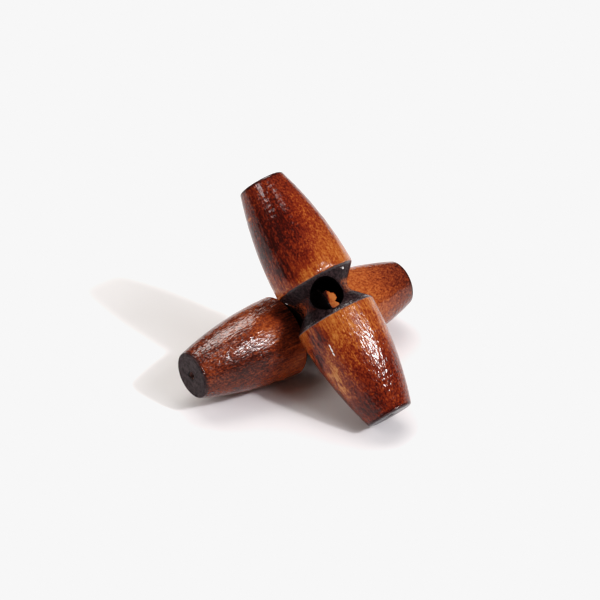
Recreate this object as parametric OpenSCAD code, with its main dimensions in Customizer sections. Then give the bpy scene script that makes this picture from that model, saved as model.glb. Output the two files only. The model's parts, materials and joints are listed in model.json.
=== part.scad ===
// Two turned wooden sew-on toggle buttons, one lying flat and one leaning across it.
// Each toggle is a barrel with a groove round its middle and a thread hole through the groove.
// +X runs along the lower toggle, +Z is up and z = 0 is the surface that both rest on.

/* [Turned body] */
// Length of a toggle, end to end
toggle_length = 40; // [36:0.5:46]
// Diameter at the shoulders, beside the groove
body_d = 12.6; // [12:0.1:14]
// Diameter of each end, before its edge is rounded
end_d = 7.1; // [6:0.1:8]
// How far the side of the barrel bulges out from a straight taper
barrel_bulge = 0.65; // [0.3:0.05:0.9]
// Radius of the rounded edge of each end face
end_edge_r = 0.5; // [0.3:0.05:1]

/* [Groove] */
// Width of the groove, from shoulder to shoulder
groove_w = 6.2; // [5.6:0.1:7]
// Diameter at the bottom of the groove
neck_d = 7.8; // [7.2:0.1:8.6]
// Radius of the rounded bottom of the groove
groove_bottom_r = 1.5; // [1:0.1:1.8]
// Radius of the rounded edge of each shoulder
shoulder_edge_r = 0.4; // [0.2:0.05:0.6]

/* [Drilling] */
// Diameter of the thread hole through the neck
hole_d = 4.9; // [3.6:0.1:5]
// Diameter of the small mark that the lathe centre leaves in each end
centre_mark_d = 1.4; // [0.6:0.1:2]
// Depth of the lathe centre's mark
centre_mark_depth = 0.5; // [0.2:0.1:1]

/* [How the two lie] */
// Angle between the two toggles, seen from above
crossing_angle = 89; // [80:1:100]
// How far the upper toggle's middle lies past the lower one, towards its raised end
slip = 0.8; // [0:0.1:1.2]
// Gap left between the two toggles where their shoulders meet
rest_gap = 0.08; // [0.05:0.01:0.2]
// Roll of the lower toggle about its own axis, 0 with its hole upright
lower_roll = -75; // [-90:1:-60]
// Roll of the upper toggle about its own axis, 0 with its hole square to the lean
upper_roll = 24; // [15:1:40]

/* [Hidden] */
$fn = 96;

body_r = body_d / 2;
half_length = toggle_length / 2;
half_groove = groove_w / 2;

// The side of the barrel is one arc, from the shoulder to the end's edge.
side_chord = [half_length - half_groove, end_d / 2 - body_r];
side_chord_length = norm(side_chord);
side_r = pow(side_chord_length, 2) / (8 * barrel_bulge) + barrel_bulge / 2;
side_half_angle = asin(side_chord_length / 2 / side_r);
side_chord_angle = atan2(side_chord[1], side_chord[0]);
side_centre = [half_groove, body_r] + side_chord / 2
    + (side_r - barrel_bulge) * [sin(side_chord_angle), -cos(side_chord_angle)];
// Slope of the side where it leaves the shoulder and where it meets the end
shoulder_slope = side_chord_angle + side_half_angle;
end_slope = side_chord_angle - side_half_angle;

// The groove's flank runs straight from its rounded bottom up to the shoulder.
groove_centre_r = neck_d / 2 + groove_bottom_r;
flank_reach = norm([half_groove, body_r - groove_centre_r]);
flank_slope = atan2(body_r - groove_centre_r, half_groove)
    + asin(groove_bottom_r / flank_reach);

// Each rounded edge takes this much of the lines that meet at it.
shoulder_trim = shoulder_edge_r * tan((flank_slope - shoulder_slope) / 2);
end_trim = end_edge_r * tan((90 + end_slope) / 2);

function along(slope) = [cos(slope), sin(slope)];
function above(slope) = [-sin(slope), cos(slope)];
// Points of an arc that bulges outward, between the places where its slope is from and to
function arc(centre, r, from, to, steps, skip = 0) =
    [for (i = [skip:steps - skip]) centre + r * above(from + (to - from) * i / steps)];

// Centres of the two rounded edges, in the plane of the outline: [along the axis, radius]
shoulder_centre = [half_groove, body_r] + shoulder_trim * along(shoulder_slope)
    - shoulder_edge_r * above(shoulder_slope);
end_centre = [half_length, end_d / 2] - end_trim * along(end_slope)
    - end_edge_r * above(end_slope);

// One half of the outline, from the middle of the groove to the edge of the end face
groove_bottom = [for (i = [0:5]) [0, groove_centre_r] - groove_bottom_r * above(-flank_slope * i / 5)];
half_outline = concat(
    [for (p = groove_bottom) [abs(p[0]), p[1]]],
    arc(shoulder_centre, shoulder_edge_r, flank_slope, shoulder_slope, 4),
    arc(side_centre, side_r, shoulder_slope, end_slope, 12, skip = 1),
    arc(end_centre, end_edge_r, end_slope, -90, 5)
);
// How far a toggle reaches from its middle in a direction whose share along its axis is u
function reach(u) = max([for (p = half_outline) p[0] * abs(u) + p[1] * sqrt(1 - u * u)]);

// Distance between the two axes when the shoulders meet, plus the gap
axis_distance = sqrt(pow(body_r, 2) - pow(half_groove, 2))
    + sqrt(pow(body_r, 2) - pow(half_groove - slip, 2)) + rest_gap;
// Height of the upper toggle's middle when it lies on the lower one at a given lean
function height_on_lower(lean) = body_r + slip * sin(lean) + axis_distance * cos(lean);
// The lean at which the upper toggle's low end just meets the surface
function find_lean(low, high, tries) = let (mid = (low + high) / 2)
    tries == 0 ? mid
    : reach(sin(mid)) > height_on_lower(mid) ? find_lean(low, mid, tries - 1)
    : find_lean(mid, high, tries - 1);
lean = find_lean(20, 70, 24);

heading = -crossing_angle;
upper_z = reach(sin(lean));
// From the lower toggle's middle to the upper one's, level and square to the crossing
upper_offset = slip * cos(lean) - axis_distance * sin(lean);
// The origin is under the middle of the pair.
upper_reach_y = reach(cos(lean) * sin(heading));
centre_y = (max(upper_offset + upper_reach_y, body_r)
    + min(upper_offset - upper_reach_y, -body_r)) / 2;

// A toggle lying along X with its middle at the origin and its hole upright
module turned_toggle() {
    difference() {
        rotate([0, 90, 0])
            rotate_extrude()
                rotate(90)
                    toggle_outline();
        cylinder(d = hole_d, h = 2 * body_d, center = true);
        for (side = [0, 180])
            rotate([0, side, 0])
                centre_mark();
    }
}

// Half of the section through the axis: [along the axis, radius]
module toggle_outline() {
    other_half = [for (i = [len(half_outline) - 1:-1:1]) [-half_outline[i][0], half_outline[i][1]]];
    polygon(concat([[half_length, 0], [-half_length, 0]], other_half, half_outline));
}

// Hollow cone that the lathe centre presses into the end
module centre_mark() {
    overrun = 0.1;
    translate([half_length - centre_mark_depth, 0, 0])
        rotate([0, 90, 0])
            cylinder(
                d1 = 0,
                d2 = centre_mark_d * (1 + overrun / centre_mark_depth),
                h = centre_mark_depth + overrun
            );
}

module lower_toggle() {
    color("sienna")
        translate([0, -centre_y, body_r])
            rotate([lower_roll, 0, 0])
                turned_toggle();
}

module upper_toggle() {
    color("saddlebrown")
        translate([0, upper_offset - centre_y, upper_z])
            rotate([0, lean, heading])
                rotate([upper_roll, 0, 0])
                    turned_toggle();
}

lower_toggle();
upper_toggle();
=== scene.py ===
import json
import math

import bmesh
import bpy
import numpy as np
from mathutils import Matrix, Vector, noise


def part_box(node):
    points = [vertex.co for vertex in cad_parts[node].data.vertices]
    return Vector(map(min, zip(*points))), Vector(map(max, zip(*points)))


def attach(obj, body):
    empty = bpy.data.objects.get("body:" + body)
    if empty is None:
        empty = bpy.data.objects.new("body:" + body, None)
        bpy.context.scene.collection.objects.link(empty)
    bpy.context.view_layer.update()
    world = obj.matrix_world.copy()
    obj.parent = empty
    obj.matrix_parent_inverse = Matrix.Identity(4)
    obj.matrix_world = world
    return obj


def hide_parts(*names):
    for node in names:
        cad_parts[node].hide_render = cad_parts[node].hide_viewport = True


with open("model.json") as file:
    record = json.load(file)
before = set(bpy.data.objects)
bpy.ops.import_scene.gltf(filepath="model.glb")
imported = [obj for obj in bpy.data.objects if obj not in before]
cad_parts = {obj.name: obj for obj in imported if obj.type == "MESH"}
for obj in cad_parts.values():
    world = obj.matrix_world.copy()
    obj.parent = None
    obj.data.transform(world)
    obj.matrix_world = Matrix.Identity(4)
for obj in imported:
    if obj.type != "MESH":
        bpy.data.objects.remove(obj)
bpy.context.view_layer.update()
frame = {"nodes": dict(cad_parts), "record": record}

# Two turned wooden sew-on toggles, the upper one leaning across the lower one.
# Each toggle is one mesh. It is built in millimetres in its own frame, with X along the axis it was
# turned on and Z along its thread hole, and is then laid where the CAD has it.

MM = 0.001

# ---------------------------------------------------------------- sizes, in millimetres
lower_low, lower_high = [[v / MM for v in corner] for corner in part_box("lower_toggle")]
HALF_LENGTH = (lower_high[0] - lower_low[0]) / 2
BODY_R = (lower_high[2] - lower_low[2]) / 2
HOLE_R = frame["record"]["mounts"][0]["dims"]["r_mm"]

END_R = 3.55
BULGE = 0.65
END_EDGE_R = 0.5
HALF_GROOVE = 3.1
NECK_R = 3.9
GROOVE_BOTTOM_R = 1.5
SHOULDER_EDGE_R = 0.4
PIT_R = 0.7
PIT_DEPTH = 0.5

# Heights of the marks on the surface, how far the shoulders are worn down, and how far apart the
# tool left its ripples on the barrel and its rings on the ends
WOBBLE_HEIGHT = 0.035
FINE_WOBBLE_HEIGHT = 0.012
RIPPLE_HEIGHT = 0.017
RIPPLE_SPACING = 0.95
FIBRE_HEIGHT = 0.011
LUMP_HEIGHT = 0.008
SHOULDER_WEAR = 0.022
END_RING_SPACING = 0.45
# Where along the axis the marks start to fade out towards the edge of the end
MARKS_FADE_FROM = HALF_LENGTH - 0.7

# Depth of the lacquer's relief, the shares that open pores and orange peel have in it, and its gloss
RELIEF_DEPTH = 0.12
PORE_SHARE = 0.62
ORANGE_PEEL_SHARE = 0.3
COAT_ROUGHNESS = 0.13
COAT_IOR = 1.4

# How finely the mesh follows the outline: steps along each stretch of it, and steps round the axis
GROOVE_STEPS = 12
FLANK_STEPS = 20
SHOULDER_STEPS = 5
BARREL_STEPS = 92
END_STEPS = 8
AROUND = 288
# Above 1, the steps along the barrel are closer together next to the shoulder.
BARREL_STEP_GROWTH = 1.15
# The window left in the grid for each mouth of the hole, in steps either way from its middle
WINDOW_STEPS = GROOVE_STEPS + FLANK_STEPS - 1
WINDOW_TURNS = 43
# Rings between the window and the brim of the hole, as shares of the way out from the brim
MOUTH_RINGS = (0.8, 0.62, 0.47, 0.34, 0.23, 0.14, 0.06, 0.0)
FLECK_RINGS = 8
FLECK_AROUND = 16
# The wall of the hole: steps over its worn edge, depths below it of the rings that carry torn fibres,
# and steps between the two sets of rings
WORN_EDGE_STEPS = 5
FIBRE_DEPTHS = (0.25, 0.5, 0.8, 1.2)
WALL_STEPS = 14
# The end face: circles from its edge in to the pit, and the radii of the rings in the pit
END_CIRCLES = 16
PIT_RADII = (PIT_R, 0.55, 0.4, 0.25, 0.12)


# ---------------------------------------------------------------- the turned outline
def along(slope):
    return np.array([math.cos(slope), math.sin(slope)])


def above(slope):
    return np.array([-math.sin(slope), math.cos(slope)])


def arc(centre, radius, start, stop, steps):
    """Points of an arc that bulges outward, between the places where its slope is start and stop."""
    return [centre + radius * above(start + (stop - start) * i / steps) for i in range(steps + 1)]


def half_outline():
    """[along the axis, radius] from the middle of the groove to the edge of the end face."""
    shoulder = np.array([HALF_GROOVE, BODY_R])
    end_corner = np.array([HALF_LENGTH, END_R])
    chord = end_corner - shoulder
    length = np.linalg.norm(chord)
    side_r = length**2 / (8 * BULGE) + BULGE / 2
    half_angle = math.asin(length / 2 / side_r)
    chord_slope = math.atan2(chord[1], chord[0])
    shoulder_slope = chord_slope + half_angle
    end_slope = chord_slope - half_angle
    side_centre = shoulder + chord / 2 - (side_r - BULGE) * above(chord_slope)

    bottom_centre = np.array([0, NECK_R + GROOVE_BOTTOM_R])
    rise = shoulder - bottom_centre
    flank = math.atan2(rise[1], rise[0]) + math.asin(GROOVE_BOTTOM_R / np.linalg.norm(rise))
    shoulder_trim = SHOULDER_EDGE_R * math.tan((flank - shoulder_slope) / 2)
    end_trim = END_EDGE_R * math.tan((math.pi / 2 + end_slope) / 2)
    shoulder_centre = shoulder + shoulder_trim * along(shoulder_slope)
    shoulder_centre -= SHOULDER_EDGE_R * above(shoulder_slope)
    end_centre = end_corner - end_trim * along(end_slope)
    end_centre -= END_EDGE_R * above(end_slope)

    slopes = [flank * i / GROOVE_STEPS for i in range(GROOVE_STEPS + 1)]
    bottom = [bottom_centre - GROOVE_BOTTOM_R * above(slope) for slope in slopes]
    shoulder_edge = arc(shoulder_centre, SHOULDER_EDGE_R, flank, shoulder_slope, SHOULDER_STEPS)
    rise = shoulder_edge[0] - bottom[-1]
    straight = [bottom[-1] + rise * i / FLANK_STEPS for i in range(1, FLANK_STEPS)]
    shares = (np.arange(1, BARREL_STEPS) / BARREL_STEPS) ** BARREL_STEP_GROWTH
    side_slopes = shoulder_slope + (end_slope - shoulder_slope) * shares
    side = [side_centre + side_r * above(slope) for slope in side_slopes]
    end_edge = arc(end_centre, END_EDGE_R, end_slope, -math.pi / 2, END_STEPS)
    return np.array(bottom + straight + shoulder_edge + side + end_edge)


OUTLINE = half_outline()


def radius_at(x):
    return np.interp(np.abs(x), OUTLINE[:, 0], OUTLINE[:, 1])


def outward_at(x):
    """The outline's outward direction, [along the axis, away from it], at each place along the side."""
    step = 0.02
    slope = np.arctan2(radius_at(x + step) - radius_at(x - step), 2 * step)
    return np.stack([-np.sin(slope), np.cos(slope)], -1)


def smooth(low, high, x):
    t = np.clip((x - low) / (high - low), 0, 1)
    return t * t * (3 - 2 * t)


def noise_of(points, per_mm, seed):
    """Smooth noise, about -1 to 1, at each point, with per_mm features to the millimetre."""
    scaled = points * np.asarray(per_mm) + np.array([seed * 17.3, seed * 5.1, seed * 9.7])
    return np.array([noise.noise(p) for p in scaled])


# ---------------------------------------------------------------- one toggle's mesh
class Toggle:
    """Gathers the points and faces of one toggle, in its own frame."""

    def __init__(self, seed, torn, glint_flecks):
        self.seed = seed
        self.torn = torn
        self.glint_flecks = glint_flecks
        self.points = []
        self.faces = []

    def add(self, points):
        start = len(self.points)
        self.points.extend(points)
        return np.arange(start, start + len(points))

    def bridge(self, a, b):
        """Quads between two closed rings of points."""
        for i in range(len(a)):
            j = (i + 1) % len(a)
            self.faces.append((a[i], a[j], b[j], b[i]))

    def marks(self, p):
        """How far the real surface stands above the drawn outline at each point."""
        away = np.abs(p[:, 0])
        wobble = WOBBLE_HEIGHT * noise_of(p, 0.13, self.seed)
        wobble += FINE_WOBBLE_HEIGHT * noise_of(p, 0.6, self.seed + 1)
        # Ripples that the turning tool left towards the ends
        near_end = smooth(12.0, 15.5, away)
        near_end *= 1 - 0.5 * smooth(MARKS_FADE_FROM - 0.5, MARKS_FADE_FROM, away)
        patchy = np.clip(0.4 + 1.3 * noise_of(p, 0.3, self.seed + 2), 0, 1)
        phase = away * 2 * math.pi / RIPPLE_SPACING + 2.6 * noise_of(p, 0.35, self.seed + 3)
        ripples = RIPPLE_HEIGHT * near_end * patchy * np.sin(phase)
        # Raised fibres along the wood, and short lumps in the lacquer over them
        on_barrel = smooth(HALF_GROOVE - 0.3, HALF_GROOVE + 0.1, away)
        fibres = FIBRE_HEIGHT * noise_of(p, (0.45, 3.2, 3.2), self.seed + 4) * on_barrel
        lumps = LUMP_HEIGHT * noise_of(p, (1.1, 2.4, 2.4), self.seed + 5) * on_barrel
        # The barrel's side, worn down just before each shoulder
        past_wear = smooth(HALF_GROOVE + 0.12, HALF_GROOVE + 0.42, away)
        worn = -SHOULDER_WEAR * on_barrel * (1 - past_wear)
        fade = 1 - smooth(MARKS_FADE_FROM, HALF_LENGTH, away)
        return (wobble + ripples + fibres + lumps + worn) * fade

    def on_surface(self, x, turn):
        """Points of the outer surface at places along the axis and turns about it."""
        r = radius_at(x)
        lift = self.marks(np.stack([x, r * np.cos(turn), r * np.sin(turn)], -1))
        out = outward_at(x)
        r = r + out[:, 1] * lift
        return np.stack([x + out[:, 0] * lift, r * np.cos(turn), r * np.sin(turn)], -1)

    def build(self):
        stations = np.concatenate([-OUTLINE[:0:-1, 0], OUTLINE[:, 0]])
        middle = len(OUTLINE) - 1
        turns = 2 * math.pi * np.arange(AROUND) / AROUND
        rows = [self.add(self.on_surface(np.full(AROUND, x), turns)) for x in stations]
        # The hole runs along Z, so its mouths are a quarter and three quarters of a turn round.
        mouths = {1: AROUND // 4, -1: 3 * AROUND // 4}
        for i in range(len(rows) - 1):
            for j in range(AROUND):
                across = min(abs(j + 0.5 - m) for m in mouths.values())
                if abs(i + 0.5 - middle) > WINDOW_STEPS or across > WINDOW_TURNS:
                    k = (j + 1) % AROUND
                    self.faces.append((rows[i][j], rows[i][k], rows[i + 1][k], rows[i + 1][j]))
        top, bottom = [self.mouth(rows, stations, middle, side, mouths[side]) for side in (1, -1)]
        self.wall(top, bottom)
        self.end_face(-1, rows[0], turns)
        self.end_face(1, rows[-1], turns)
        for place, fleck_r, stretch in self.glint_flecks:
            self.fleck(place, fleck_r, stretch)
        return np.array(self.points), self.faces

    def fleck(self, place, fleck_r, stretch):
        """A small bead, half sunk in the surface and stretched along the axis. The material paints it near
        white as a glint.
        """
        turn = math.atan2(place[2], place[1])
        middle = self.on_surface(np.array([place[0]]), np.array([turn]))[0]
        turns = 2 * math.pi * np.arange(FLECK_AROUND) / FLECK_AROUND
        last = None
        for i in range(1, FLECK_RINGS):
            polar = math.pi * i / FLECK_RINGS
            ring = fleck_r * np.stack([
                np.full(FLECK_AROUND, stretch * math.cos(polar)),
                math.sin(polar) * np.cos(turns),
                math.sin(polar) * np.sin(turns),
            ], -1)
            added = self.add(middle + ring)
            if last is not None:
                self.bridge(last, added)
            else:
                self.cap(added, middle + [stretch * fleck_r, 0, 0])
            last = added
        self.cap(last, middle - [stretch * fleck_r, 0, 0])

    def cap(self, ring, tip):
        """Closes a ring of points with triangles to a tip."""
        tip = self.add([np.array(tip)])[0]
        for i in range(len(ring)):
            self.faces.append((ring[i], ring[(i + 1) % len(ring)], tip))

    def mouth(self, rows, stations, middle, side, centre):
        """Rings from the edge of the window in the grid in to the brim of the hole.

        Both mouths' rings start at the same corner and run the same way round the hole."""
        low, high, across = middle - WINDOW_STEPS, middle + WINDOW_STEPS, WINDOW_TURNS
        loop = [(i, -across) for i in range(low, high)]
        loop += [(high, j) for j in range(-across, across)]
        loop += [(i, across) for i in range(high, low, -1)]
        loop += [(low, j) for j in range(across, -across, -1)]
        last = np.array([rows[i][centre - side * j] for i, j in loop])
        x = np.array([stations[i] for i, j in loop])
        lean = np.array([2 * math.pi * j / AROUND for i, j in loop])
        angle = np.arctan2(lean / lean.max(), x / x.max())
        brim_r = HOLE_R + self.worn_edge(angle, side)
        brim_x = brim_r * np.cos(angle)
        brim_lean = np.arcsin(brim_r * np.sin(angle) / radius_at(brim_x))
        for share in MOUTH_RINGS:
            ring_x = brim_x + (x - brim_x) * share
            ring_lean = brim_lean + (lean - brim_lean) * share
            ring = self.add(self.on_surface(ring_x, side * (math.pi / 2 - ring_lean)))
            self.bridge(last, ring)
            last = ring
        return last

    def worn_edge(self, angle, side):
        """Radius of the worn edge round the mouth of the hole."""
        p = np.stack([np.cos(angle), np.sin(angle), np.full_like(angle, side * 3.0)], -1)
        return 0.13 + 0.07 * noise_of(p, 2.5, self.seed + 6)

    def fibre_reach(self, angle, side):
        """How far torn fibres stand into the hole from its mouth. The drill tore them where it came out."""
        p = np.stack([np.cos(angle), np.sin(angle), np.full_like(angle, side * 2.0)], -1)
        rough = 0.5 * noise_of(p, 6.0, self.seed + 7) + 0.7 * noise_of(p, 15.0, self.seed + 8)
        start, stop, depth = self.torn if side < 0 else (0, 0, 0)
        half = max((stop - start) / 2, 0.01)
        off = np.abs((angle - (start + stop) / 2 + math.pi) % (2 * math.pi) - math.pi)
        tongue = depth * (1 - smooth(0.8 * half, 1.1 * half, off))
        return np.clip(tongue * (1 + 0.7 * rough) + 0.04 * rough, -0.05, 1.1)

    def wall(self, top, bottom):
        """The wall of the hole, with torn fibres at its mouths and the drill's wandering between them."""
        inner = []
        for brim, side in ((top, 1), (bottom, -1)):
            start = np.array(self.points)[brim]
            angle = np.arctan2(start[:, 1], start[:, 0])
            reach = self.fibre_reach(angle, side)
            edge = np.hypot(start[:, 0], start[:, 1]) - HOLE_R
            places = []
            for i in range(1, WORN_EDGE_STEPS + 1):
                bend = math.pi / 2 * i / WORN_EDGE_STEPS
                radius = HOLE_R + edge * (1 - math.sin(bend)) - reach * math.sin(bend)
                places.append((radius, edge * (1 - math.cos(bend)) + 0.15 * reach * math.sin(bend)))
            for depth in FIBRE_DEPTHS:
                places.append((HOLE_R - reach * (1 - smooth(0.0, 1.1, depth)), edge + depth))
            last = brim
            for radius, depth in places:
                height = start[:, 2] - side * depth
                ring = self.add(np.stack([radius * np.cos(angle), radius * np.sin(angle), height], -1))
                self.bridge(last, ring)
                last = ring
            inner.append(last)
        above_ring, below_ring = np.array(self.points)[inner[0]], np.array(self.points)[inner[1]]
        last = inner[0]
        for i in range(1, WALL_STEPS):
            p = above_ring + (below_ring - above_ring) * i / WALL_STEPS
            angle = np.arctan2(p[:, 1], p[:, 0])
            radius = HOLE_R + 0.025 * noise_of(p, 1.1, self.seed + 9)
            ring = self.add(np.stack([radius * np.cos(angle), radius * np.sin(angle), p[:, 2]], -1))
            self.bridge(last, ring)
            last = ring
        self.bridge(last, inner[1])

    def end_face(self, side, rim, turns):
        """The end face: faint rings from the tool, and the pit that the lathe centre left."""
        rim_r = OUTLINE[-1, 1]
        last = rim
        flat_radii = np.linspace(rim_r, PIT_R + 0.15, END_CIRCLES)[1:]
        for r in [*flat_radii, *PIT_RADII]:
            flat = np.stack([np.full(AROUND, side * HALF_LENGTH), r * np.cos(turns), r * np.sin(turns)], -1)
            rough = noise_of(flat, 0.9, self.seed + 10) + 0.6 * noise_of(flat, 3.0, self.seed + 11)
            fade = smooth(0, 0.4, rim_r - r)
            sunk = 0.02 * (1 + rough) * fade
            sunk += 0.01 * (1 + math.sin(r * 2 * math.pi / END_RING_SPACING)) * fade
            pit = smooth(0, 1, (PIT_R + 0.12 * rough - r) / PIT_R + 0.1)
            flat[:, 0] -= side * (sunk + (PIT_DEPTH + 0.12 * rough) * pit)
            ring = self.add(flat)
            self.bridge(last, ring)
            last = ring
        self.cap(last, [side * (HALF_LENGTH - PIT_DEPTH), 0.0, 0.0])


def place_of(node):
    """A toggle's place in the frame, read from its CAD mesh and its thread hole."""
    hole_name = node.replace("toggle", "thread_hole")
    mount = next(m for m in frame["record"]["mounts"] if m["name"] == hole_name)
    middle = np.array(mount["pos_m"])
    hole = np.array(mount["axis"])
    mesh = frame["nodes"][node].data
    corners = np.empty(len(mesh.vertices) * 3)
    mesh.vertices.foreach_get("co", corners)
    corners = corners.reshape(-1, 3) - middle
    # The axis runs to the middle of the points of one end.
    far = corners[np.argmax((corners**2).sum(1))]
    end = corners[corners @ far > 0.5 * (far @ far)]
    axis = end.mean(0)
    axis -= hole * (axis @ hole)
    axis /= np.linalg.norm(axis)
    # +X is the low end of a leaning toggle and the +X end of a level one.
    if axis[0] - axis[2] < 0:
        axis = -axis
    place = Matrix.Identity(4)
    for i, column in enumerate((axis, np.cross(hole, axis), hole, middle)):
        for j in range(3):
            place[j][i] = column[j]
    return place


def add_toggle(node, toggle, material):
    points, faces = toggle.build()
    place = np.array(place_of(node))
    mesh = bpy.data.meshes.new(node + "_turned")
    world = points * MM @ place[:3, :3].T + place[:3, 3]
    mesh.from_pydata(world.tolist(), [], [tuple(int(i) for i in f) for f in faces])
    attribute = mesh.attributes.new("turned", "FLOAT_VECTOR", "POINT")
    attribute.data.foreach_set("vector", points.astype(np.float32).ravel())
    outward = bmesh.new()
    outward.from_mesh(mesh)
    bmesh.ops.recalc_face_normals(outward, faces=outward.faces)
    outward.to_mesh(mesh)
    outward.free()
    mesh.polygons.foreach_set("use_smooth", [True] * len(mesh.polygons))
    mesh.update()
    mesh.materials.append(material)
    piece = bpy.data.objects.new(node + "_turned", mesh)
    bpy.context.scene.collection.objects.link(piece)
    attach(piece, node)
    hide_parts(node)
    return piece


# ---------------------------------------------------------------- materials
class Nodes:
    """Builds one material's node tree with short calls."""

    def __init__(self, name):
        self.material = bpy.data.materials.new(name)
        self.material.use_nodes = True
        self.tree = self.material.node_tree
        self.tree.nodes.clear()

    def add(self, kind, **values):
        made = self.tree.nodes.new(kind)
        for key, value in values.items():
            setattr(made, key, value)
        return made

    def put(self, socket, value):
        if isinstance(value, bpy.types.NodeSocket):
            self.tree.links.new(value, socket)
        else:
            socket.default_value = value

    def math(self, operation, a, b=0.0, c=0.0):
        made = self.add("ShaderNodeMath", operation=operation)
        for socket, value in zip(made.inputs, (a, b, c)):
            self.put(socket, value)
        return made.outputs[0]

    def times(self, a, b):
        return self.math("MULTIPLY", a, b)

    def plus(self, a, b):
        return self.math("ADD", a, b)

    def ramp(self, value, low, high, to_low=0.0, to_high=1.0):
        made = self.add("ShaderNodeMapRange", interpolation_type="SMOOTHSTEP")
        for socket, given in zip(made.inputs, (value, low, high, to_low, to_high)):
            self.put(socket, given)
        return made.outputs[0]

    def length(self, *sides):
        total = self.times(sides[0], sides[0])
        for side in sides[1:]:
            total = self.math("MULTIPLY_ADD", side, side, total)
        return self.math("SQRT", total)

    def scaled(self, vector, factors, offset=(0, 0, 0)):
        made = self.add("ShaderNodeVectorMath", operation="MULTIPLY_ADD")
        for socket, given in zip(made.inputs, (vector, factors, offset)):
            self.put(socket, given)
        return made.outputs[0]

    def noise(self, vector, per_mm, detail=2.0, roughness=0.5, distortion=0.0):
        """Noise from 0 to 1 with this many features to the millimetre along each axis."""
        made = self.add("ShaderNodeTexNoise")
        self.put(made.inputs["Vector"], self.scaled(vector, per_mm, self.shift))
        self.put(made.inputs["Scale"], 1.0)
        self.put(made.inputs["Detail"], detail)
        self.put(made.inputs["Roughness"], roughness)
        self.put(made.inputs["Distortion"], distortion)
        return made.outputs["Fac"]

    def swing(self, value, amount):
        """A 0 to 1 value turned into one that swings about 0, by amount from end to end."""
        return self.times(self.math("SUBTRACT", value, 0.5), amount)

    def near(self, vector, middle, reach):
        """1 at a place on the toggle, falling to 0 at this reach along each axis."""
        inverse = [1 / r for r in reach]
        from_middle = self.scaled(vector, inverse, [-m * i for m, i in zip(middle, inverse)])
        made = self.add("ShaderNodeVectorMath", operation="LENGTH")
        self.put(made.inputs[0], from_middle)
        return self.ramp(made.outputs["Value"], 0.0, 1.0, 1.0, 0.0)

    def mix(self, factor, a, b):
        made = self.add("ShaderNodeMix", data_type="RGBA")
        self.put(made.inputs["Factor"], factor)
        self.put(made.inputs["A"], a)
        self.put(made.inputs["B"], b)
        return made.outputs["Result"]

    def colours(self, value, stops):
        made = self.add("ShaderNodeValToRGB")
        elements = made.color_ramp.elements
        while len(elements) < len(stops):
            elements.new(0.5)
        for element, (place, colour) in zip(elements, stops):
            element.position = place
            element.color = colour
        self.put(made.inputs[0], value)
        return made.outputs[0]


def linear(r, g, b):
    return (r, g, b, 1.0)


# Colours, as linear light. A pair runs from the darker to the lighter.
# Near black: the stain in the hole, and painted shade in the lower toggle's groove
BLACK_STAIN_AND_SHADE = linear(0.004, 0.003, 0.003)
CHARCOAL = (linear(0.014, 0.008, 0.009), linear(0.046, 0.029, 0.031))
WORN_NECK = (linear(0.11, 0.026, 0.016), linear(0.34, 0.085, 0.028))
WORN_NECK_BRIGHT = linear(0.55, 0.16, 0.05)
# Grey, painted along a shoulder's edge as a highlight
PAINTED_RIM_HIGHLIGHT_GREY = linear(0.13, 0.11, 0.115)
END_BLACK = (linear(0.024, 0.016, 0.018), linear(0.070, 0.052, 0.054))
END_RING = linear(0.022, 0.018, 0.019)
PIT_BLACK = linear(0.014, 0.011, 0.012)
RAW_WOOD = linear(0.42, 0.16, 0.06)
# Near white, painted on the beads as glints
PAINTED_GLINT_WHITE = linear(0.95, 0.93, 0.9)
PAPER = linear(0.86, 0.86, 0.86)


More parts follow.
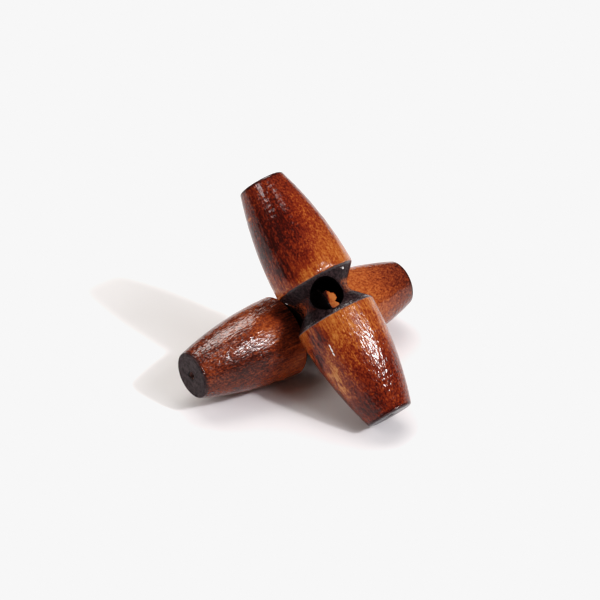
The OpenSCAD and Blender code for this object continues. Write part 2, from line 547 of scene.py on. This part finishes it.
def stained_wood(
    name, seed, tones, patches, black_edges, groove_shade_black, rim_highlight_grey, streaky, blotchy_side,
    gloss_from, groove_gloss, end_gloss, dull, glint_flecks,
):
    """Turned hardwood: red-brown stain, black in the groove and hole and on the ends, under clear lacquer.

    seed: moves every noise to another place
    tones: colours of the wood, from the thinnest stain to the thickest
    patches: places where the colour is darker, or lighter if negative: (middle, reach, how much). Most are
    heavier or lighter stain; some are painted shade and painted light.
    black_edges: how far the black reaches along the axis, on the -X side and on the +X side
    groove_shade_black: how far the groove's charcoal is painted towards full black as shade, 0 to 1
    rim_highlight_grey: how far the black on the fibres along the +X shoulder's edge is painted grey as a
    highlight, 0 to 1
    streaky: how much the patches break up into streaks
    blotchy_side: the side along X, 1 or -1, with the more uneven stain and the deeper pores
    gloss_from: how far from the middle the full lacquer starts
    groove_gloss, end_gloss: the share of the lacquer's gloss in the groove and on the ends
    dull: places where the lacquer is duller: (middle, reach)
    glint_flecks: beads painted near white as glints: (place, radius, stretch)"""
    n = Nodes(name)
    n.shift = (seed * 13.7, seed * 7.9, seed * 3.3)
    place = n.add("ShaderNodeAttribute", attribute_name="turned").outputs["Vector"]
    split = n.add("ShaderNodeSeparateXYZ")
    n.put(split.inputs[0], place)
    x, y, z = split.outputs
    away = n.math("ABSOLUTE", x)
    off_axis = n.length(y, z)
    from_hole = n.length(x, y)

    fibre = n.noise(place, (0.2, 2.6, 2.6), 3.0, 0.6, 0.3)
    fine_fibre = n.noise(place, (0.6, 6.0, 6.0), 2.0, 0.6)
    mottle = n.noise(place, (0.2, 0.38, 0.38), 3.0, 0.6, 0.7)
    speck = n.noise(place, (2.6, 3.6, 3.6), 2.0, 0.65, 0.3)

    # The stain is thin and golden beside the groove, thick and red towards the ends, and thickest at
    # their edges. The fibres, mottling and specks make it uneven.
    stain = n.ramp(away, 2.5, 16.0, 0.28, 0.72)
    stain = n.plus(stain, n.ramp(away, 19.35, 19.7, 0.0, 0.3))
    uneven = n.times(n.swing(fibre, 1.0), n.ramp(away, 3.5, 10.0, 1.0, 0.35))
    uneven = n.plus(n.swing(mottle, 0.55), uneven)
    uneven = n.plus(uneven, n.swing(fine_fibre, 0.45))
    blotchy = n.ramp(n.times(x, blotchy_side), -8.0, 1.0, 0.5, 1.0)
    stain = n.plus(stain, n.times(uneven, blotchy))
    specks = n.times(n.swing(speck, 1.5), n.ramp(away, 3.0, 9.0, 0.6, 1.0))
    stain = n.plus(stain, specks)
    streaks = n.ramp(n.noise(place, (0.5, 1.9, 1.9), 2.0, 0.6), 0.36, 0.64, -streaky, streaky)
    streaks = n.plus(n.times(streaks, blotchy), 1.0)
    # Each patch darkens the colour, or lightens it if negative: heavier or lighter stain, and on the lower
    # toggle also painted shade and painted light.
    for middle, reach, darker_by in patches:
        added = n.times(n.near(place, middle, reach), darker_by)
        stain = n.plus(stain, n.times(added, streaks))
    stops = [(i / (len(tones) - 1), linear(*tone)) for i, tone in enumerate(tones)]
    wood = n.colours(stain, stops)

    # Black stain, worn by the thread at the bottom of the groove beside the hole, most on the +Y side
    wander = n.swing(n.noise(place, (0.5, 0.6, 0.6), 2.0), 0.22)
    left, right = black_edges
    in_groove = n.times(
        n.ramp(n.plus(x, wander), -left - 0.05, -left + 0.05),
        n.ramp(n.plus(x, wander), right - 0.05, right + 0.05, 1.0, 0.0),
    )
    in_hole = n.ramp(from_hole, HOLE_R + 0.02, HOLE_R + 0.1, 1.0, 0.0)
    charcoal = n.mix(n.ramp(fibre, 0.35, 0.7), *CHARCOAL)
    # Painted shade: the groove's charcoal is darkened towards black by this share.
    charcoal = n.mix(groove_shade_black, charcoal, BLACK_STAIN_AND_SHADE)
    wear = n.ramp(off_axis, NECK_R + 0.1, NECK_R + 0.7, 1.0, 0.0)
    wear = n.times(wear, n.ramp(speck, 0.38, 0.62))
    wear = n.times(wear, n.ramp(from_hole, HOLE_R + 0.1, HOLE_R + 0.5))
    worn = n.mix(n.ramp(mottle, 0.45, 0.65), *WORN_NECK)
    worn = n.mix(n.ramp(y, 2.5, 3.6, 0.0, 0.8), worn, WORN_NECK_BRIGHT)
    colour = n.mix(in_groove, wood, n.mix(n.times(wear, 0.8), charcoal, worn))
    # A painted highlight: a thin grey line on the black along one shoulder's edge, where its rounded edge
    # catches the light.
    from_shoulder = n.math("ABSOLUTE", n.plus(x, -HALF_GROOVE - 0.05))
    painted_rim_highlight = n.ramp(from_shoulder, 0.03, 0.12, 1.0, 0.0)
    painted_rim_highlight = n.times(painted_rim_highlight, n.ramp(fine_fibre, 0.3, 0.6, 0.2, rim_highlight_grey))
    colour = n.mix(painted_rim_highlight, colour, PAINTED_RIM_HIGHLIGHT_GREY)
    colour = n.mix(in_hole, colour, BLACK_STAIN_AND_SHADE)

    # The ends, black too, with raw wood showing in the pit
    grain = n.noise(place, (0.6, 1.3, 1.3), 4.0, 0.7)
    ring_phase = n.plus(n.times(off_axis, 2 * math.pi / END_RING_SPACING), n.swing(grain, 3.0))
    rings = n.math("SINE", ring_phase)
    ends = n.mix(n.ramp(grain, 0.3, 0.7), *END_BLACK)
    ends = n.mix(n.ramp(rings, 0.2, 1.0, 0.0, 0.35), ends, END_RING)
    dark_pit = n.ramp(n.plus(off_axis, n.swing(grain, 0.9)), PIT_R - 0.1, PIT_R + 0.35, 1.0, 0.0)
    ends = n.mix(dark_pit, ends, PIT_BLACK)
    raw = n.times(n.ramp(speck, 0.52, 0.6), n.ramp(off_axis, 0.3, 0.65, 1.0, 0.0))
    ends = n.mix(raw, ends, RAW_WOOD)
    on_end = n.ramp(n.plus(away, n.times(wander, 0.3)), HALF_LENGTH - 0.22, HALF_LENGTH - 0.14)
    colour = n.mix(on_end, colour, ends)
    # Painted glints: each bead is coloured near white where the lacquer would catch the light.
    for middle, fleck_r, stretch in glint_flecks:
        reach = (2 * fleck_r * stretch, 2 * fleck_r, 2 * fleck_r)
        on_painted_glint = n.ramp(n.near(place, middle, reach), 0.05, 0.1)
        colour = n.mix(on_painted_glint, colour, PAINTED_GLINT_WHITE)

    # The lacquer's relief: open pores drawn out along the grain, and orange peel
    pores = n.times(n.noise(place, (0.9, 4.1, 4.1), 1.0, 0.5, 0.3), blotchy)
    orange_peel = n.noise(place, (1.2, 1.6, 1.6), 0.0, 0.5)
    bump = n.add("ShaderNodeBump")
    n.put(bump.inputs["Strength"], 1.0)
    n.put(bump.inputs["Distance"], RELIEF_DEPTH * MM)
    relief = n.plus(n.times(pores, PORE_SHARE), n.times(orange_peel, ORANGE_PEEL_SHARE))
    n.put(bump.inputs["Height"], relief)
    # The lacquer is full on the barrel and thinner in the groove and on the ends. The hole has none.
    coat = n.ramp(away, gloss_from - 0.12, gloss_from + 0.12, groove_gloss, 1.0)
    coat = n.times(coat, n.ramp(on_end, 0.0, 1.0, 1.0, end_gloss))
    for middle, reach in dull:
        duller = n.times(n.near(place, middle, reach), 0.9)
        coat = n.times(coat, n.math("SUBTRACT", 1.0, duller))
    coat = n.times(coat, n.ramp(in_hole, 0.0, 1.0, 1.0, 0.0))
    # The wood under the lacquer is matt, and roughest in the hole.
    rough = n.ramp(speck, 0.3, 0.7, 0.42, 0.6)
    rough = n.plus(rough, n.times(in_hole, 0.4))
    shader = n.add("ShaderNodeBsdfPrincipled")
    n.put(shader.inputs["Base Color"], colour)
    n.put(shader.inputs["Roughness"], rough)
    n.put(shader.inputs["Specular IOR Level"], 0.0)
    n.put(shader.inputs["Coat Weight"], coat)
    n.put(shader.inputs["Coat Roughness"], COAT_ROUGHNESS)
    n.put(shader.inputs["Coat IOR"], COAT_IOR)
    n.put(shader.inputs["Normal"], bump.outputs[0])
    n.put(shader.inputs["Coat Normal"], bump.outputs[0])
    output = n.add("ShaderNodeOutputMaterial")
    n.put(output.inputs["Surface"], shader.outputs[0])
    return n.material


def pale_floor():
    n = Nodes("pale_floor")
    shader = n.add("ShaderNodeBsdfPrincipled")
    n.put(shader.inputs["Base Color"], PAPER)
    n.put(shader.inputs["Roughness"], 0.9)
    n.put(shader.inputs["Specular IOR Level"], 0.1)
    output = n.add("ShaderNodeOutputMaterial")
    n.put(output.inputs["Surface"], shader.outputs[0])
    return n.material


# ---------------------------------------------------------------- stage, light and camera
# Angles in degrees, lengths in metres except the lens, which is in millimetres
CAMERA_AZIMUTH = -37.64
CAMERA_ELEVATION = 34.87
CAMERA_DISTANCE = 0.4678
LENS = 183.03
lower_middle = place_of("lower_toggle").translation
# What the camera and the lights point at
AIM = Vector((3.41 * MM, lower_middle.y + 3.81 * MM, 8 * MM))
FLOOR_HALF = 3.0

LIGHT_DISTANCE = 1.5
PANE_COLOUR = (1.0, 0.98, 1.0)
KEY_COLOUR = (1.0, 0.96, 1.0)
BACK_COLOUR = (1.0, 0.965, 0.93)
LEFT_COLOUR = (1.0, 0.95, 0.93)
# Each light: name, azimuth, elevation, width, height, watts, colour.
# What the lacquer mirrors: two bright panes and a broad weak border where the key is, a pane at the
# back, and two weak ones overhead and on the left
MIRRORED_LIGHTS = (
    ("key_upper_pane", 17, 51, 0.22, 0.18, 10.5, PANE_COLOUR),
    ("key_lower_pane", 30, 38, 0.2, 0.22, 19, PANE_COLOUR),
    ("key_border", 20, 45, 0.75, 0.55, 4, KEY_COLOUR),
    ("back_pane", 161, 53, 0.5, 0.65, 13, BACK_COLOUR),
    ("overhead_pane", 0, 84, 0.28, 0.18, 1.6, PANE_COLOUR),
    ("left_pane", -106, 52, 0.3, 0.3, 3.2, PANE_COLOUR),
)
# The key and its halo light the wood and throw the shadows. The softbox and a broad glow at the back
# and a weaker glow on the left soften them. None of these are mirrored.
LIGHTING = (
    ("key", 22, 44, 0.1, 0.1, 10.5, KEY_COLOUR),
    ("key_halo", 22, 44, 0.75, 0.6, 9.5, KEY_COLOUR),
    ("back_softbox", 148, 65, 1.4, 1.1, 12, BACK_COLOUR),
    ("back_glow", 155, 50, 2.8, 2.0, 14.5, BACK_COLOUR),
    ("left_glow", -110, 35, 0.9, 0.7, 6.3, LEFT_COLOUR),
)
WORLD_COLOUR = (1.0, 0.9, 0.85, 1.0)
WORLD_STRENGTH = 0.09

# The paper's white is cut off a little below full white, so that it comes out even.
WHITE_CUT = 0.93
# Points of the tone curve that deepen the darks: (as lit, as shown)
DEEPER_DARKS = ((0.02, 0.011), (0.08, 0.062), (0.25, 0.235))


def direction(azimuth, elevation):
    """Unit vector towards a place at this azimuth (0 at -Y, positive towards +X) and elevation."""
    a, e = math.radians(azimuth), math.radians(elevation)
    return Vector((math.sin(a) * math.cos(e), -math.cos(a) * math.cos(e), math.sin(e)))


def add_floor():
    corners = [(FLOOR_HALF * x, FLOOR_HALF * y, 0) for x, y in ((-1, -1), (1, -1), (1, 1), (-1, 1))]
    mesh = bpy.data.meshes.new("floor")
    mesh.from_pydata(corners, [], [(0, 1, 2, 3)])
    mesh.materials.append(pale_floor())
    floor = bpy.data.objects.new("floor", mesh)
    bpy.context.scene.collection.objects.link(floor)


def add_light(name, azimuth, elevation, width, height, power, colour):
    data = bpy.data.lights.new(name, "AREA")
    data.shape = "RECTANGLE"
    data.size, data.size_y = width, height
    data.energy = power
    data.color = colour
    light = bpy.data.objects.new(name, data)
    towards = direction(azimuth, elevation)
    light.location = AIM + towards * LIGHT_DISTANCE
    light.rotation_euler = towards.to_track_quat("Z", "Y").to_euler()
    bpy.context.scene.collection.objects.link(light)
    return light


def add_camera():
    data = bpy.data.cameras.new("camera")
    data.sensor_width = 36
    data.lens = LENS
    data.clip_start = 0.01
    camera = bpy.data.objects.new("camera", data)
    towards = direction(CAMERA_AZIMUTH, CAMERA_ELEVATION)
    camera.location = AIM + towards * CAMERA_DISTANCE
    camera.rotation_euler = towards.to_track_quat("Z", "Y").to_euler()
    bpy.context.scene.collection.objects.link(camera)
    bpy.context.scene.camera = camera


def set_world():
    world = bpy.data.worlds.new("studio")
    world.use_nodes = True
    background = world.node_tree.nodes["Background"]
    background.inputs["Color"].default_value = WORLD_COLOUR
    background.inputs["Strength"].default_value = WORLD_STRENGTH
    bpy.context.scene.world = world


def set_view():
    view = bpy.context.scene.view_settings
    view.view_transform = "Standard"
    view.look = "None"
    view.use_curve_mapping = True
    tone = view.curve_mapping.curves[3]
    tone.points[1].location = (1.0, WHITE_CUT)
    for lit, shown in DEEPER_DARKS:
        tone.points.new(lit, shown)
    view.curve_mapping.extend = "HORIZONTAL"
    view.curve_mapping.update()


add_camera()
add_floor()
for row in MIRRORED_LIGHTS:
    add_light(*row).visible_diffuse = False
for row in LIGHTING:
    add_light(*row).visible_glossy = False
set_world()
set_view()

# ---------------------------------------------------------------- the two toggles
LOWER_SEED = 3
UPPER_SEED = 8
# The stretch round the hole's far mouth where fibres are torn: from, to, how far they stand in
NO_TEAR = (0, 0, 0)
UPPER_TEAR = (math.radians(60), math.radians(165), 0.6)
# Colours of the wood from the thinnest stain to the thickest. The lower toggle is the browner one.
lower_tones = (
    (0.46, 0.150, 0.042),
    (0.36, 0.088, 0.025),
    (0.21, 0.046, 0.016),
    (0.105, 0.022, 0.011),
    (0.036, 0.010, 0.007),
)
upper_tones = (
    (0.52, 0.200, 0.055),
    (0.39, 0.112, 0.026),
    (0.22, 0.038, 0.012),
    (0.115, 0.016, 0.008),
    (0.040, 0.008, 0.006),
)
# Places where the colour is darker, or lighter if negative: middle, reach along each axis, how much. Most
# are heavier or lighter stain; three are painted shade and painted light.
lower_patches = [
    ((-10.0, -2.0, -4.5), (11.0, 6.0, 5.0), 0.3),
    # Painted shade: darker where the upper toggle's shadow falls across the lower one
    ((-3.5, -4.5, 0.0), (5.5, 6.0, 7.0), 0.6),
    ((11.0, 0.0, 0.0), (9.0, 12.0, 12.0), -0.6),
    # Painted shade: near black beside the spot seen through the upper toggle's hole, where the groove lies
    # in shadow
    ((3.3, -6.2, 0.8), (1.1, 2.0, 3.2), 4.0),
    # Painted light: lighter and more golden on the spot seen through the upper toggle's hole, where light
    # falls on it
    ((4.5, -6.0, -1.8), (1.4, 1.5, 2.4), -0.5),
]
# Places where the lacquer is duller: middle, reach along each axis
lower_dull = [((-6.6, -5.4, -2.7), (3.6, 3.0, 3.0))]
lower_wood = stained_wood(
    "stained_wood_lower",
    seed=LOWER_SEED,
    tones=lower_tones,
    patches=lower_patches,
    black_edges=(3.1, 3.42),
    # The lower toggle's groove is painted near black as shade.
    groove_shade_black=0.85,
    rim_highlight_grey=0.0,
    streaky=0.3,
    blotchy_side=-1,
    gloss_from=3.5,
    groove_gloss=0.08,
    end_gloss=0.3,
    dull=lower_dull,
    glint_flecks=[],
)
add_toggle("lower_toggle", Toggle(LOWER_SEED, NO_TEAR, []), lower_wood)

# Beads on the groove's flank and on the barrel, painted near white as glints: place, radius, stretch
upper_glint_flecks = [
    ((-2.35, 4.02, 3.87), 0.1, 1.6),
    ((-2.5, 3.8, 4.2), 0.06, 1.6),
    ((7.1, -3.5, 5.0), 0.05, 3.5),
    ((7.75, -3.55, 4.95), 0.06, 4.0),
    ((8.45, -3.6, 4.85), 0.06, 3.5),
]
upper_patches = [
    ((-10.0, -2.0, 5.0), (10.0, 6.0, 6.0), 0.36),
    ((-14.0, 2.8, 3.8), (6.0, 4.0, 4.0), -0.15),
    ((-9.0, -5.0, 2.5), (9.0, 3.2, 4.5), 0.35),
    ((-5.0, -4.2, 4.6), (4.0, 3.0, 3.0), 0.35),
    ((-15.6, -4.4, 1.8), (0.5, 0.9, 0.9), -0.9),
    ((5.2, -4.4, 4.2), (3.2, 2.2, 2.8), 0.5),
    ((8.0, -5.3, 2.4), (3.5, 2.0, 2.6), 0.5),
    ((12.0, -4.9, 2.9), (6.5, 2.1, 2.8), -0.6),
    ((9.0, 0.0, 4.0), (7.0, 6.0, 5.0), -0.06),
    ((17.5, -2.5, 3.5), (3.0, 3.0, 3.0), 0.25),
]
upper_dull = [
    ((5.5, 0.9, 6.0), (4.0, 3.2, 3.0)),
    ((-5.4, 1.7, 5.9), (2.5, 3.5, 3.0)),
    ((-12.8, 0.0, 5.4), (4.6, 4.5, 4.0)),
]
upper_wood = stained_wood(
    "stained_wood_upper",
    seed=UPPER_SEED,
    tones=upper_tones,
    patches=upper_patches,
    black_edges=(3.02, 3.2),
    groove_shade_black=0.0,
    rim_highlight_grey=0.9,
    streaky=0.75,
    blotchy_side=1,
    gloss_from=2.72,
    groove_gloss=0.25,
    end_gloss=0.9,
    dull=upper_dull,
    glint_flecks=upper_glint_flecks,
)
add_toggle("upper_toggle", Toggle(UPPER_SEED, UPPER_TEAR, upper_glint_flecks), upper_wood)
